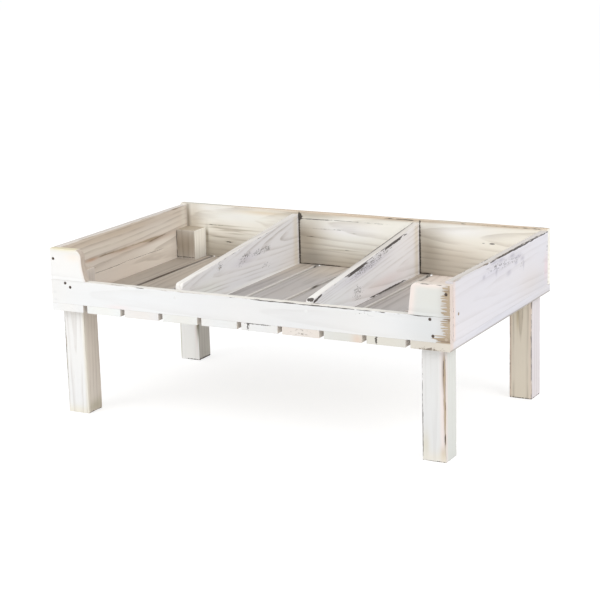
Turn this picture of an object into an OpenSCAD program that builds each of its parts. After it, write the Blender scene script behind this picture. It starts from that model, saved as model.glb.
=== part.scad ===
// Display crate on four square legs: a shallow slatted tray with three bays.
// X runs along the front, Y from the front to the back, Z up.
// The origin is on the ground, under the middle of the crate.

/* [Crate] */
// Length of the front and back boards, and so of the crate
crate_w = 900; // [840:10:1100]
// Depth of the crate over the front and back boards
crate_d = 534; // [440:2:640]
// Clear height under the floor slats
clear_h = 224; // [150:1:400]

/* [Front rail] */
// Thickness of the front rail and of the two ears on it
front_t = 16; // [12:1:22]
// Height of the front rail
rail_h = 50; // [46:1:58]

/* [Left ear] */
// Height of the left ear above the front rail
left_ear_h = 66; // [56:1:80]
// Width of the left ear on the front rail
left_ear_foot_w = 86; // [84:1:110]
// Width of the left ear above its flared foot
left_head_w = 77; // [70:1:82]
// Height at which the foot of the left ear starts to flare out
left_flare_h = 50; // [20:1:54]
// Radius of the left ear's top inner corner
left_head_r = 11; // [3:1:20]

/* [Right ear] */
// Height of the right ear above the front rail
right_ear_h = 62; // [56:1:80]
// Width of the right ear on the front rail
right_ear_foot_w = 86; // [84:1:110]
// Width of the right ear at its top
right_head_w = 79; // [70:1:84]
// Radius of the right ear's top inner corner
right_head_r = 11; // [3:1:20]

/* [Sides and back] */
// Thickness of the side boards
side_t = 16; // [12:1:22]
// Height of the side boards
side_h = 116; // [100:1:140]
// Thickness of the back board
back_t = 14; // [12:1:22]
// Height of the back board
back_h = 120; // [104:1:150]

/* [Dividers] */
// Thickness of the dividers
divider_t = 16; // [12:1:22]
// Clear width of each end bay, from side board to divider
end_bay_w = 278; // [220:1:290]
// Height of the dividers at the back board
divider_back_h = 114; // [90:1:118]
// Height of the left divider at the front rail
left_nose_h = 62; // [50:1:80]
// Height of the right divider at the front rail
right_nose_h = 56; // [50:1:80]
// Radius of the blunt top of each divider's front end
nose_r = 7; // [3:1:12]

/* [Legs] */
// Side of a square leg
leg_w = 50; // [40:1:58]
// How far a leg inside the crate stands up above the front rail
post_rise = 17; // [12:1:40]
// Chamfer round the foot of a leg
foot_chamfer = 3; // [1:0.5:6]

/* [Floor] */
// Number of floor slats
slat_count = 10; // [9:1:11]
// Width of the first slat at the left, which is narrower than the others
left_slat_w = 77; // [72:1:84]
// Gap between two floor slats
slat_gap = 10; // [6:1:14]
// Thickness of the floor slats
slat_t = 16; // [12:1:20]
// Play between a leg and the cut-out that it passes through
leg_play = 0.5; // [0.3:0.1:1]

/* [Edges] */
// Easing of the long edges of boards, slats and legs
arris = 1; // [0.5:0.1:2]

/* [Nails] */
// Length of a nail over its head
nail_l = 45; // [38:1:47]
// Diameter of a nail's shank
nail_d = 2.5; // [2:0.1:3]
// Diameter of a nail's head
nail_head_d = 6; // [5:0.1:7]
// Thickness of a nail's head
nail_head_t = 1; // [0.8:0.1:1.5]
// Distance of the slat nails from the slat's long edges
slat_nail_inset = 18; // [14:1:22]

/* [Hidden] */

$fn = 32;

// Main planes of the crate
half_w = crate_w / 2;
front_y = -crate_d / 2;
back_y = crate_d / 2;
rail_in_y = front_y + front_t;
back_in_y = back_y - back_t;
side_in_x = half_w - side_t;
floor_z = clear_h + slat_t;
rail_top_z = floor_z + rail_h;
post_top_z = rail_top_z + post_rise;

// Middle lines of the legs and the dividers
leg_x = side_in_x - leg_w / 2;
leg_front_y = rail_in_y + leg_w / 2;
leg_back_y = back_in_y - leg_w / 2;
divider_x = side_in_x - end_bay_w - divider_t / 2;

// Floor slats are counted from the left; all but the first are alike
slat_w = (crate_w - left_slat_w) / (slat_count - 1) - slat_gap;
function slat_width(i) = i == 1 ? left_slat_w : slat_w;
function slat_x(i) = i == 1 ? -half_w + left_slat_w / 2
    : half_w - slat_w / 2 - (slat_count - i) * (slat_w + slat_gap);

// Nails sit in pilot holes with this much play round the shank and the head
nail_play = 0.05;
nail_tip = 4;
hole_end = 0.3;
// How far a cutting shape reaches past the face that it cuts
cut = 1;

// Distances of the nails from the edges and ends of the boards that they hold
ear_nail_inset = 44;
board_nail_inset = 24;
divider_nail_inset = 30;
edge_nail_inset = 100;
// Sideways steps of the nails in a post from its middle line
post_nail_x = 6;

// Heights of the nails above the floor slats; the first one passes over the tips of the
// nails that come up through the slats
over_slat_nails = nail_l - slat_t + 7;
rail_end_nail_z = [8, 23];
ear_nail_z = rail_h + ear_nail_inset;
rail_post_nail_z = [12, over_slat_nails, rail_h - 6];
side_nail_z = [over_slat_nails - 5, rail_h - 1];
board_end_nail_z = [board_nail_inset, side_h / 2, side_h - board_nail_inset];
back_post_nail_z = [for (z = side_nail_z) z + 9];
back_divider_nail_z = [over_slat_nails + 4, divider_back_h - divider_nail_inset];
// Distances of the nails under a board from the crate's front
edge_nail_y = [edge_nail_inset, crate_d / 2, crate_d - edge_nail_inset];
// The side boards' middle line
side_x = side_in_x + side_t / 2;

// A nail comes up into a divider through the middle of the strip that the divider at x
// covers on the nearest slat
function divider_nail_x(x) =
    let (i = 2 + round((x - slat_x(2)) / (slat_w + slat_gap)),
         from = max(x - divider_t / 2, slat_x(i) - slat_w / 2),
         to = min(x + divider_t / 2, slat_x(i) + slat_w / 2))
    (from + to) / 2;

// Each nail is listed as [x, y, z] of the middle of its head's outer face
front_nails = concat(
    [for (s = [-1, 1]) for (z = rail_end_nail_z) [s * side_x, front_y, floor_z + z]],
    [for (s = [-1, 1]) [s * side_x, front_y, floor_z + ear_nail_z]],
    [[-leg_x - post_nail_x, front_y, floor_z + rail_post_nail_z[2]],
     [-leg_x + post_nail_x, front_y, floor_z + rail_post_nail_z[1]],
     [leg_x, front_y, floor_z + rail_post_nail_z[2]],
     [leg_x + post_nail_x, front_y, floor_z + rail_post_nail_z[0]]],
    [for (s = [-1, 1]) [s * divider_x, front_y, floor_z + over_slat_nails]]);
back_nails = concat(
    [for (s = [-1, 1]) for (z = board_end_nail_z) [s * side_x, back_y, floor_z + z]],
    [for (s = [-1, 1]) for (k = [0, 1])
        [s * leg_x + [-1, 1][k] * post_nail_x, back_y, floor_z + back_post_nail_z[k]]],
    [for (s = [-1, 1]) for (z = back_divider_nail_z) [s * divider_x, back_y, floor_z + z]]);
side_nails = [for (y = [leg_front_y, leg_back_y]) for (z = side_nail_z)
    [half_w, y, floor_z + z]];
slat_nails = [for (i = [1:slat_count]) for (s = [-1, 1])
    for (y = [front_y + front_t / 2, back_y - back_t / 2])
        [slat_x(i) + s * (slat_width(i) / 2 - slat_nail_inset), y, clear_h]];
edge_nails = [for (s = [-1, 1]) for (y = edge_nail_y) [s * side_x, front_y + y, clear_h]];
divider_nails = [for (s = [-1, 1]) for (y = edge_nail_y)
    [divider_nail_x(s * divider_x), front_y + y, clear_h]];

function step(a, b) = (b - a) / norm(b - a);
// Half of the angle at corner p between the edges to a and b
function half_angle(a, p, b) = acos(step(p, a) * step(p, b)) / 2;

// A rectangle with its four corners eased by the arris
module eased(w, h) {
    polygon([[arris, 0], [w - arris, 0], [w, arris], [w, h - arris],
             [w - arris, h], [arris, h], [0, h - arris], [0, arris]]);
}

// A convex outline whose corner number i has the radius radii[i]
module outline(points, radii) {
    n = len(points);
    function prev(i) = points[(i + n - 1) % n];
    function next(i) = points[(i + 1) % n];
    polygon([for (i = [0:n - 1])
        let (p = points[i],
             d = radii[i] > 0 ? radii[i] / tan(half_angle(prev(i), p, next(i))) : 0)
        each d > 0 ? [p + step(p, prev(i)) * d, p + step(p, next(i)) * d] : [p]]);
    for (i = [0:n - 1]) if (radii[i] > 0) {
        p = points[i];
        to_middle = step(p, prev(i)) + step(p, next(i));
        middle = p + to_middle / norm(to_middle)
            * radii[i] / sin(half_angle(prev(i), p, next(i)));
        translate(middle) circle(r = radii[i]);
    }
}

// Turns a profile drawn in Y and Z into a board along X
module along_x(from_x, l) {
    translate([from_x, 0, 0]) rotate([90, 0, 90]) linear_extrude(height = l) children();
}

// Turns a profile drawn in X and Z into a board that runs from from_y back by l
module along_y(from_y, l) {
    translate([0, from_y + l, 0]) rotate([90, 0, 0]) linear_extrude(height = l) children();
}

// Points the +Z of a nail into the wood: along x, y or z by the sign of each
module driven(p, way) {
    translate(p)
        rotate([way.y > 0 ? -90 : way.y < 0 ? 90 : 0, way.x > 0 ? 90 : way.x < 0 ? -90 : 0, 0])
            children();
}

module nail() {
    color("dimgray") rotate_extrude()
        polygon([[0, 0], [nail_head_d / 2, 0], [nail_head_d / 2, nail_head_t],
                 [nail_d / 2, nail_head_t], [nail_d / 2, nail_l - nail_tip], [0, nail_l]]);
}

module pilot() {
    translate([0, 0, -cut])
        cylinder(h = cut + nail_head_t + nail_play, d = nail_head_d + 2 * nail_play);
    cylinder(h = nail_l + hole_end, d = nail_d + 2 * nail_play);
}

module nails(places, way) {
    for (p = places) driven(p, way) nail();
}

module pilots(places, way) {
    for (p = places) driven(p, way) pilot();
}

// One leg on the side sx and the end sy of the crate, standing up inside its corner
module leg(sx, sy) {
    y = sy < 0 ? leg_front_y : leg_back_y;
    outer_x = sx * half_w;
    color([0.91, 0.90, 0.87]) difference() {
        translate([sx * leg_x - leg_w / 2, y - leg_w / 2, 0])
            linear_extrude(height = post_top_z) eased(leg_w, leg_w);
        for (a = [0:90:270]) translate([sx * leg_x, y, 0]) rotate([0, 0, a])
            foot_wedge();
        pilots(sy < 0 ? front_nails : back_nails, [0, -sy, 0]);
        pilots([for (p = side_nails) [outer_x, p.y, p.z]], [-sx, 0, 0]);
    }
}

// The sliver that the foot chamfer takes off one side of a leg
module foot_wedge() {
    translate([0, leg_w / 2, 0]) along_x(-leg_w, 2 * leg_w)
        polygon([[-foot_chamfer, 0], [0, foot_chamfer], [cut, foot_chamfer + cut],
                 [cut, -cut], [-foot_chamfer - cut, -cut]]);
}

module front_rail() {
    color([0.95, 0.95, 0.94]) difference() {
        along_x(-half_w, crate_w) translate([front_y, floor_z]) eased(front_t, rail_h);
        pilots(front_nails, [0, 1, 0]);
        pilots(slat_nails, [0, 0, 1]);
    }
}

// Outline of the left ear: the inner edge is upright and flares out to the foot in one arc
module left_ear_outline() {
    flare_out = left_ear_foot_w - left_head_w;
    flare_r = (pow(flare_out, 2) + pow(left_flare_h, 2)) / (2 * flare_out);
    outline([[0, 0], [left_head_w, 0], [left_head_w, left_ear_h], [0, left_ear_h]],
            [0, 0, left_head_r, 0]);
    difference() {
        polygon([[0, 0], [left_ear_foot_w, 0], [left_head_w, left_flare_h], [0, left_flare_h]]);
        translate([left_head_w + flare_r, left_flare_h]) circle(r = flare_r);
    }
}

// Outline of the right ear: the inner edge leans out in a straight line
module right_ear_outline() {
    outline([[0, 0], [right_ear_foot_w, 0], [right_head_w, right_ear_h], [0, right_ear_h]],
            [0, 0, right_head_r, 0]);
}

// An ear on the side s, with its outline drawn from the outer lower corner inwards
module front_ear(s) {
    color([0.95, 0.95, 0.93]) difference() {
        along_y(front_y, front_t)
            translate([s * half_w, rail_top_z]) mirror([s > 0 ? 1 : 0, 0]) children();
        pilots(front_nails, [0, 1, 0]);
    }
}

module side_board(s) {
    color([0.88, 0.87, 0.87]) difference() {
        along_y(rail_in_y, back_in_y - rail_in_y)
            translate([s > 0 ? side_in_x : -half_w, floor_z]) eased(side_t, side_h);
        pilots(front_nails, [0, 1, 0]);
        pilots(back_nails, [0, -1, 0]);
        pilots([for (p = side_nails) [s * p.x, p.y, p.z]], [-s, 0, 0]);
        pilots(edge_nails, [0, 0, 1]);
    }
}

module back_board() {
    color([0.92, 0.91, 0.87]) difference() {
        along_x(-half_w, crate_w) translate([back_in_y, floor_z]) eased(back_t, back_h);
        pilots(back_nails, [0, -1, 0]);
        pilots(slat_nails, [0, 0, 1]);
    }
}

// One divider on the side s: a board that slopes down to a blunt nose at the front
module divider(s, nose_h) {
    color([0.85, 0.84, 0.83]) difference() {
        along_x(s * divider_x - divider_t / 2, divider_t)
            outline([[rail_in_y, floor_z], [back_in_y, floor_z],
                     [back_in_y, floor_z + divider_back_h], [rail_in_y, floor_z + nose_h]],
                    [0, 0, 0, nose_r]);
        pilots(front_nails, [0, 1, 0]);
        pilots(back_nails, [0, -1, 0]);
        pilots(divider_nails, [0, 0, 1]);
    }
}

// Floor slat number i; where a leg comes up through it, it has a square cut-out
module floor_slat(i) {
    hole_w = leg_w + 2 * leg_play;
    function meets(x, w) = abs(x - slat_x(i)) < (slat_width(i) + w) / 2;
    color([0.72, 0.70, 0.67]) difference() {
        along_y(front_y, crate_d)
            translate([slat_x(i) - slat_width(i) / 2, clear_h]) eased(slat_width(i), slat_t);
        for (s = [-1, 1]) for (y = [leg_front_y, leg_back_y]) if (meets(s * leg_x, hole_w))
            translate([s * leg_x - hole_w / 2, y - hole_w / 2, clear_h - cut])
                cube([hole_w, hole_w, slat_t + 2 * cut]);
        pilots([for (p = concat(slat_nails, edge_nails, divider_nails))
            if (meets(p.x, nail_head_d)) p], [0, 0, 1]);
    }
}

leg(-1, -1);  // leg_front_left
leg(1, -1);  // leg_front_right
leg(-1, 1);  // leg_back_left
leg(1, 1);  // leg_back_right
front_rail();
front_ear(-1) left_ear_outline();  // front_ear_left
front_ear(1) right_ear_outline();  // front_ear_right
side_board(-1);  // side_board_left
side_board(1);  // side_board_right
back_board();
divider(-1, left_nose_h);  // divider_left
divider(1, right_nose_h);  // divider_right
for (i = [1:slat_count])
    floor_slat(i);
nails(front_nails, [0, 1, 0]);  // nails_front
nails(back_nails, [0, -1, 0]);  // nails_back
nails([for (p = side_nails) [-p.x, p.y, p.z]], [1, 0, 0]);  // nails_side_left
nails(side_nails, [-1, 0, 0]);  // nails_side_right
nails(concat(slat_nails, edge_nails), [0, 0, 1]);  // nails_floor
nails(divider_nails, [0, 0, 1]);  // nails_dividers
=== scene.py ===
"""Dresses a whitewashed display crate on square legs: worn boards, slats, dividers and nails.

Lengths are metres unless a name says otherwise. X runs along the front, Y from the front to the
back and Z up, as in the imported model.
"""

from __future__ import annotations

import functools
import itertools
import logging
import math
from dataclasses import dataclass, field
from enum import Enum
from typing import Callable, Mapping, Sequence, Union

import bpy
import numpy as np
from mathutils import Matrix, Vector


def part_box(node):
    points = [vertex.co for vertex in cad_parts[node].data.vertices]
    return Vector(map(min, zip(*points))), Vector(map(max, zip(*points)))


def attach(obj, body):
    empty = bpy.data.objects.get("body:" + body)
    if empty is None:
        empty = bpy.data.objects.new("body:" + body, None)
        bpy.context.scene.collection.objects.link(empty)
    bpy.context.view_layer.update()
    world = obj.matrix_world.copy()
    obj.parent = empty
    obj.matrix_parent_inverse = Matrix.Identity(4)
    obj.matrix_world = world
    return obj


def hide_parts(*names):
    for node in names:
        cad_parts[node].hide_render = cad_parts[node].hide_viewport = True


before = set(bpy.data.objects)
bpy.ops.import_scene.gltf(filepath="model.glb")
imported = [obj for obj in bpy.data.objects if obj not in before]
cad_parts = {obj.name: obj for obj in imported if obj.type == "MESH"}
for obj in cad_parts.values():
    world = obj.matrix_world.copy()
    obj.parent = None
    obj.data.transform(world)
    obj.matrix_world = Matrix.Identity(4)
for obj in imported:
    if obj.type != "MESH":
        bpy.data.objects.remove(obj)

LOG = logging.getLogger("crate")
MM = 0.001

Array = np.ndarray
Socket = bpy.types.NodeSocket
Sockets = Mapping[str, Socket]
Feed = Union[Socket, float, Sequence[float]]
Warp = Callable[[Array], Array]
Colour = tuple[float, float, float]


def linear(red: float, green: float, blue: float) -> Array:
    """Turns a display colour of 0 to 255 into linear light.

    Args:
        red, green, blue: The colour as it is seen on a screen.

    Returns:
        Three linear values of 0 to 1.
    """
    c = np.array([red, green, blue]) / 255.0
    return np.where(c <= 0.04045, c / 12.92, ((c + 0.055) / 1.055) ** 2.4)


NOISE_SIZE = 1 << 16
NOISE_TABLE = np.random.default_rng(11).uniform(-1.0, 1.0, NOISE_SIZE)
NOISE_PRIMES = np.array([73856093, 19349663, 83492791], dtype=np.int64)
SEED_PRIME = 2654435761


def noise(points: Array, cell: Union[float, Sequence[float]], seed: int) -> Array:
    """Smooth noise: random values at the corners of a lattice, blended by a smooth step.

    Args:
        points: Places, as an array of rows of three.
        cell: Size of a lattice cell, one length or one for each axis.
        seed: Picks another pattern.

    Returns:
        One value between -1 and 1 for each point.
    """
    scaled = points / np.asarray(cell)
    corner = np.floor(scaled).astype(np.int64)
    part = scaled - corner
    part = part * part * (3.0 - 2.0 * part)
    total = np.zeros(len(points))
    for step in itertools.product((0, 1), repeat=3):
        key = (corner + step) * NOISE_PRIMES
        key = (key[:, 0] ^ key[:, 1] ^ key[:, 2] ^ (seed * SEED_PRIME)) & (NOISE_SIZE - 1)
        total += NOISE_TABLE[key] * np.prod(np.where(step, part, 1.0 - part), axis=1)
    return total


def shown(name: str, data: bpy.types.ID) -> bpy.types.Object:
    """Puts an object of the data into the scene.

    Args:
        name: The object's name.
        data: Its mesh, lamp or camera.

    Returns:
        The object.
    """
    made = bpy.data.objects.new(name, data)
    bpy.context.collection.objects.link(made)
    return made


def smooth_step(value: Array, low: float, high: float) -> Array:
    """0 below low, 1 above high and a smooth rise between them."""
    t = np.clip((value - low) / (high - low), 0.0, 1.0)
    return t * t * (3.0 - 2.0 * t)


class Face(Enum):
    """The six faces of a board in its own axes: along the grain, across it and through it."""

    START = (0, -1)
    END = (0, 1)
    LOW = (1, -1)
    HIGH = (1, 1)
    UNDER = (2, -1)
    OVER = (2, 1)


class Wear(Enum):
    """Kinds of wear, each kept in its own channel of a board's wear attribute.

    FIGURED is the last one: there the grain shows more, which the figure attribute keeps.
    The channel for soiling also holds painted shade in seams and gaps.
    """

    RUBBED = 0
    SCRATCHED = 1
    GRIMY = 2
    COMBED = 3
    FIGURED = 4


@dataclass(frozen=True)
class Mark:
    """A worn patch or a line of painted shade, with soft edges on one face of a board, placed in mm from
    its low corner.

    Its two places run along the face: along and across on OVER and UNDER, along and through on
    LOW and HIGH, across and through on START and END.
    """

    kind: Wear
    face: Face
    place: tuple[float, float]
    spread: tuple[float, float]
    strength: float


@dataclass(frozen=True)
class Tint:
    """A patch of another paint colour with soft edges, placed as a mark is; some patches are painted shade
    or painted highlight.
    """

    face: Face
    place: tuple[float, float]
    spread: tuple[float, float]
    colour: Colour
    strength: float


@dataclass(frozen=True)
class Crack:
    """A drying crack along the grain of a face, in mm from the board's low corner."""

    face: Face
    across: float
    start: float
    end: float
    width: float = 0.9
    depth: float = 1.2
    wander: float = 1.2


@dataclass(frozen=True)
class Sawing:
    """How a board lay in its log: the pith's place beside the board, and how the log tapers."""

    pith_across: float = 0.0
    pith_through: float = -0.035
    taper: float = 0.02
    shift: float = 0.0

    # How far apart the logs of two boards lie in the noise
    LOG_GAP = 1.7

    def places(self, flat: Array, seed: int) -> Array:
        """Turns a board's points into places in its own log.

        They are taken from the pith, lowered by the taper along the grain, and moved along the log
        by the shift and by the seed times the logs' distance.

        Args:
            flat: Points on the sharp block.
            seed: The board's seed.

        Returns:
            The places.
        """
        log = flat - [0.0, self.pith_across, self.pith_through]
        log[:, 2] -= self.taper * flat[:, 0]
        log[:, 0] += self.shift + seed * self.LOG_GAP
        return log


START, END, LOW, HIGH, UNDER, OVER = Face
RUBBED, SCRATCHED, GRIMY, COMBED, FIGURED = Wear


def wear_on(*items: Wear | Face | Sequence[float]) -> list[Mark]:
    """Marks from a list in which a kind of wear and a face hold for the rows after them.

    Args:
        items: Kinds, faces, and rows of two places, two spreads and a strength.

    Returns:
        The marks.
    """
    found = []
    for item in items:
        if isinstance(item, Wear):
            kind = item
        elif isinstance(item, Face):
            face = item
        else:
            found.append(Mark(kind, face, item[:2], item[2:4], item[4]))
    return found


def paint_on(*items: Face | Sequence) -> list[Tint]:
    """Patches of paint from a list in which a face holds for the rows after it.

    Args:
        items: Faces, and rows of two places, two spreads, a colour and a strength.

    Returns:
        The patches, each of which lies over the ones before it.
    """
    found = []
    for item in items:
        if isinstance(item, Face):
            face = item
        else:
            found.append(Tint(face, item[:2], item[2:4], *item[4:]))
    return found


def dabs(colour: Colour, strength: float, *rows: Sequence[float]) -> list[Sequence]:
    """Rows for paint_on that share a colour and a strength."""
    return [(*row, colour, strength) for row in rows]


# Distances of the mesh lines from an arris, so that its rounding and chips have their shape
ARRIS_LINES = np.array([0.0, 0.5, 1.0, 1.6, 2.4, 3.4, 5.0]) * MM
LINE_GRID = 1e4


def mesh_lines(half: float, step: float, extras: Sequence[float] = ()) -> Array:
    """Places of the mesh lines between two opposite faces of a board.

    Args:
        half: Half of the distance between the faces.
        step: Distance of the lines away from the arrises.
        extras: Further places where a line has to run.

    Returns:
        Rising places from -half to half, no closer than 0.1 mm.
    """
    near = ARRIS_LINES[ARRIS_LINES < half * 0.8]
    inner = half - near[-1]
    even = np.linspace(-inner, inner, max(2, int(round(2.0 * inner / step)) + 1))
    places = np.concatenate([near - half, half - near, even, np.asarray(extras, dtype=float)])
    places = places[np.abs(places) <= half + 1e-9]
    return np.unique(np.round(places * LINE_GRID)) / LINE_GRID


def block_faces(cells: Array, layers: int) -> tuple[Array, Array]:
    """The outer faces of a block of cells that may have openings through it.

    Args:
        cells: True where the block has wood, one value for each cell along and across.
        layers: Number of mesh lines through the block.

    Returns:
        The quads, facing outwards, as indices into the lattice of all mesh lines, and the
        indices of the lattice points in use.
    """
    along, across = cells.shape
    ids = np.arange((along + 1) * (across + 1) * layers).reshape(along + 1, across + 1, layers)

    def sheet(layer: Array, flip: bool) -> Array:
        """Quads over the cells with wood in one layer, each from its corners in turn.

        Args:
            layer: Indices of the layer's points.
            flip: True if the quads face down.

        Returns:
            The quads.
        """
        quads = np.stack([layer[:-1, :-1], layer[1:, :-1], layer[1:, 1:], layer[:-1, 1:]], axis=-1)
        quads = quads[cells]
        return quads[:, ::-1] if flip else quads

    def wall(mask: Array, lattice: Array, mirrored: bool) -> Array:
        """Quads wherever wood begins or ends along the first axis.

        Args:
            mask: True for a cell with wood.
            lattice: Indices of all points.
            mirrored: True if the first two axes have changed places.

        Returns:
            The quads, turned to face away from the wood.
        """
        rise = np.diff(np.pad(mask.astype(int), ((1, 1), (0, 0))), axis=0)
        i, j = np.nonzero(rise)
        i, j = np.repeat(i, layers - 1), np.repeat(j, layers - 1)
        k = np.tile(np.arange(layers - 1), len(i) // (layers - 1))
        quads = np.stack([lattice[i, j, k], lattice[i, j + 1, k],
                          lattice[i, j + 1, k + 1], lattice[i, j, k + 1]], axis=-1)
        inward = (rise[i, j] > 0) != mirrored
        return np.where(inward[:, None], quads[:, ::-1], quads)

    quads = np.concatenate([
        sheet(ids[:, :, -1], False), sheet(ids[:, :, 0], True),
        wall(cells, ids, False), wall(cells.T, ids.transpose(1, 0, 2), True)])
    used, quads = np.unique(quads, return_inverse=True)
    return quads.reshape(-1, 4), used


@dataclass
class Board:
    """One piece of sawn wood with worn arrises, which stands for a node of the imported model.

    Its own axes run along the grain, across it and through the board, from the middle of the
    node's box. The surface is a block of mesh lines. Each point of an arris moves onto a
    cylinder whose radius grows and shrinks along it, and the faces sink a little by noise, so
    the worn board stays inside the box. `tight` gives, for a face, the ranges in mm along the
    board where it lies against another board, so its arrises there stay sharp and painted.
    """

    node: str
    finish: str
    turn: tuple[Sequence[int], Sequence[int], Sequence[int]]
    tone: Colour
    tones: Mapping[Face, Colour] = field(default_factory=dict)
    bare: Mapping[Face, float] = field(default_factory=dict)
    grain: Mapping[Face, float] = field(default_factory=dict)
    edges: Mapping[Face, float] = field(default_factory=dict)
    tight: Mapping[Face, Sequence[tuple[float, float]]] = field(default_factory=dict)
    bare_all: float = 0.05
    arris: float = 1.2 * MM
    arris_rub: float = 0.35
    sway: float = 0.5 * MM
    step: float = 5.0 * MM
    sawing: Sawing = Sawing()
    marks: Sequence[Mark] = ()
    tints: Sequence[Tint] = ()
    cracks: Sequence[Crack] = ()
    nails: Sequence[tuple[float, float]] = ()
    openings: Sequence[tuple[float, float, float, float]] = ()
    warp: Warp | None = None
    seed: int = 1

    # Depths and reaches of the wear, and the angle up to which faces shade as one
    DIMPLE_DEPTH = 0.45 * MM
    DIMPLE_SPREAD = 3.6 * MM
    SINK = 0.22 * MM
    JOINT_REACH = 2.0 * MM
    RUB_REACH = 1.9 * MM
    EDGE_REACH = 3.0 * MM
    SMOOTH_BELOW = math.radians(50)
    # Cells of the noise that varies the arrises, the faces, the cracks and the colour
    RADIUS_CELL = 28 * MM
    CHIP_CELL = (9 * MM, 5 * MM, 5 * MM)
    SINK_CELL = (60 * MM, 12 * MM, 12 * MM)
    SWAY_CELL = 130 * MM
    CRACK_CELL = 45 * MM
    RUB_CELL = (22 * MM, 6 * MM, 6 * MM)
    TONE_CELL = (0.25, 0.05, 0.05)
    HUE_CELL = (0.12, 0.04, 0.04)
    # Mesh lines beside a nail in mm, and beside a crack and a mark in widths or spreads
    NAIL_LINES = (-4.5, -3.2, -2.0, 0.0, 2.0, 3.2, 4.5)
    CRACK_LINES = (-2.5, -1.0, -0.5, 0.0, 0.5, 1.0, 2.5)
    MARK_LINES = (-1.8, -0.9, 0.0, 0.9, 1.8)

    def __post_init__(self) -> None:
        """Reads the node's box and turns it into the board's own axes."""
        low, high = (np.array(corner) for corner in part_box(self.node))
        self.rows = np.array(self.turn, dtype=float)
        self.centre = (low + high) / 2.0
        self.half = np.abs(self.rows @ (high - low)) / 2.0

    def place_mm(self, along: float, across: float, through: float = 0.0) -> Array:
        """A place given in mm from the board's low corner, in metres from its middle."""
        return np.array([along, across, through]) * MM - self.half

    def lattice(self) -> tuple[Array, Array]:
        """Lays the mesh lines and cuts the openings.

        Returns:
            The lattice points in use, in the board's own axes, and the quads between them.
        """
        extras: tuple[list[float], list[float]] = ([], [])
        for nail in self.nails:
            for lines, middle in zip(extras, self.place_mm(*nail)):
                lines += [middle + k * MM for k in self.NAIL_LINES]
        for crack in self.cracks:
            middle = self.place_mm(0.0, crack.across)[1]
            width = crack.width * MM
            extras[1].extend(middle + k * width for k in self.CRACK_LINES)
        for opening in self.openings:
            extras[0].extend(opening[:2])
            extras[1].extend(opening[2:])
        for mark in (*self.marks, *self.tints):
            if mark.face in (OVER, UNDER):
                for lines, half, place, spread in zip(extras, self.half, mark.place, mark.spread):
                    if spread * MM < self.step:
                        lines += [place * MM - half + k * (spread * MM) for k in self.MARK_LINES]
        u, v, w = (mesh_lines(half, self.step, lines) for half, lines in zip(self.half, (*extras, ())))
        mid_u = (u[1:] + u[:-1])[:, None] / 2.0
        mid_v = (v[1:] + v[:-1])[None, :] / 2.0
        cells = np.ones((len(u) - 1, len(v) - 1), dtype=bool)
        for u0, u1, v0, v1 in self.openings:
            cells &= ~((mid_u > u0) & (mid_u < u1) & (mid_v > v0) & (mid_v < v1))
        quads, used = block_faces(cells, len(w))
        grid = np.stack(np.meshgrid(u, v, w, indexing="ij"), axis=-1).reshape(-1, 3)
        return grid[used], quads

    def below(self, flat: Array, face: Face) -> Array:
        """How far each point lies below a face."""
        axis, side = face.value
        return self.half[axis] - side * flat[:, axis]

    def stretch(self, flat: Array, rise: Sequence[float], fall: Sequence[float]) -> Array:
        """1 on a stretch of the board: it rises and falls between two places each, in mm."""
        along = (flat[:, 0] + self.half[0]) / MM
        return smooth_step(along, *rise) * (1.0 - smooth_step(along, *fall))

    def joint_weight(self, flat: Array) -> Array:
        """How near each point is to a tight joint: a bell over 2 mm from the joint's face.

        Args:
            flat: Points on the sharp block.

        Returns:
            Weights of 0 to 1.
        """
        weight = np.zeros(len(flat))
        for face, ranges in self.tight.items():
            near = np.exp(-(self.below(flat, face) / self.JOINT_REACH) ** 2)
            for start, end in ranges:
                inside = self.stretch(flat, (start - 3, start), (end, end + 3))
                weight = np.maximum(weight, near * inside)
        return weight

    def worn(self, flat: Array) -> tuple[Array, Array]:
        """Rounds the arrises by a radius that wanders, and lets the faces sink a little.

        Args:
            flat: Points on the sharp block.

        Returns:
            The moved points and the outward direction at each.
        """
        coarse = noise(flat, self.RADIUS_CELL, self.seed)
        chips = smooth_step(noise(flat, self.CHIP_CELL, self.seed + 1), 0.45, 0.85)
        joint = self.joint_weight(flat)
        radius = self.arris * (1.0 + 0.45 * coarse + 1.1 * chips) * (1.0 - 0.88 * joint)
        core = np.clip(flat, radius[:, None] - self.half, self.half - radius[:, None])
        out = flat - core
        length = np.linalg.norm(out, axis=1, keepdims=True)
        normal = out / np.maximum(length, 1e-9)
        points = core + normal * radius[:, None] * (length > 1e-9)
        sink = 0.55 + 0.45 * noise(flat, self.SINK_CELL, self.seed + 2)
        points = points - normal * (self.SINK * sink * (1.0 - 0.8 * joint))[:, None]
        sway = 0.5 + 0.5 * noise(flat * [1, 0, 0], self.SWAY_CELL, self.seed + 5)
        rise = np.clip(flat[:, 1] / self.half[1], 0.0, 1.0)
        points[:, 1] -= self.sway * sway * rise
        return points, normal

    def face_weight(self, normal: Array, face: Face) -> Array:
        """How far each point belongs to a face, from 0 to 1, by its outward direction."""
        axis, side = face.value
        return np.clip(side * normal[:, axis], 0.0, 1.0) ** 2

    def mark_weight(self, flat: Array, normal: Array, mark: Mark | Tint) -> Array:
        """A bell over the mark's middle: e to minus the squared distance, in spreads.

        It is kept to the mark's own face by the face's weight.

        Args:
            flat: Points on the sharp block.
            normal: The outward direction at each.
            mark: The mark or the patch of paint.

        Returns:
            Weights that reach the mark's strength in its middle.
        """
        axis = mark.face.value[0]
        others = [k for k in range(3) if k != axis]
        away = np.zeros(len(flat))
        for k, place, spread in zip(others, mark.place, mark.spread):
            away += ((flat[:, k] + self.half[k] - place * MM) / (spread * MM)) ** 2
        return mark.strength * np.exp(-away) * self.face_weight(normal, mark.face)

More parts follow.
